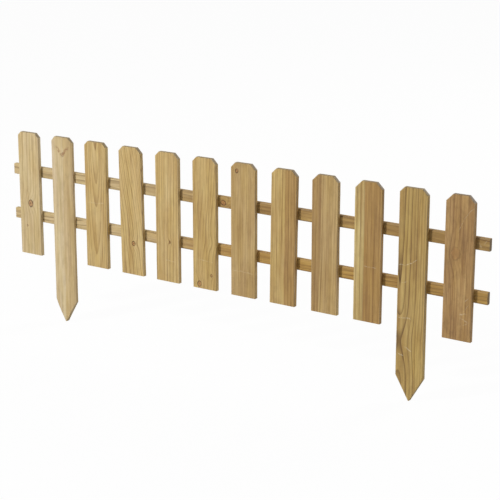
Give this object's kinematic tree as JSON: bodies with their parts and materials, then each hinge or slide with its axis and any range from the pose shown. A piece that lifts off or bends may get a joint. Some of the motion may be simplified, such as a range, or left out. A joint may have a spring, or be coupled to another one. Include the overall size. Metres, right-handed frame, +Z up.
{
  "type": "garden fence panel",
  "caption": "Low open garden fence panel of flat clipped-corner pine pickets on a pair of rails, with longer pointed stakes that drive into the ground.",
  "frame": {"origin": "on the flat front face of the left stake, on the stake's centre line and at the ground line, which is level with the feet of the pickets", "axes": "+X along the fence from the left stake to the right stake as seen from the front, +Y from the boards' front to the rails at the back, +Z up"},
  "size_m": [1.092, 0.019, 0.4],
  "materials": {
    "picket_pine": "planed, pressure treated, unpainted",
    "stake_pine": "planed, pressure treated, unpainted",
    "rail_pine": "planed, pressure treated, unpainted"
  },
  "bodies": {
    "root": {"top_rail": "rail_pine", "bottom_rail": "rail_pine", "picket_01": "picket_pine", "left_stake": "stake_pine", "picket_02": "picket_pine", "picket_03": "picket_pine", "picket_04": "picket_pine", "picket_05": "picket_pine", "picket_06": "picket_pine", "picket_07": "picket_pine", "picket_08": "picket_pine", "picket_09": "picket_pine", "right_stake": "stake_pine", "picket_10": "picket_pine"}
  },
  "joints": []
}
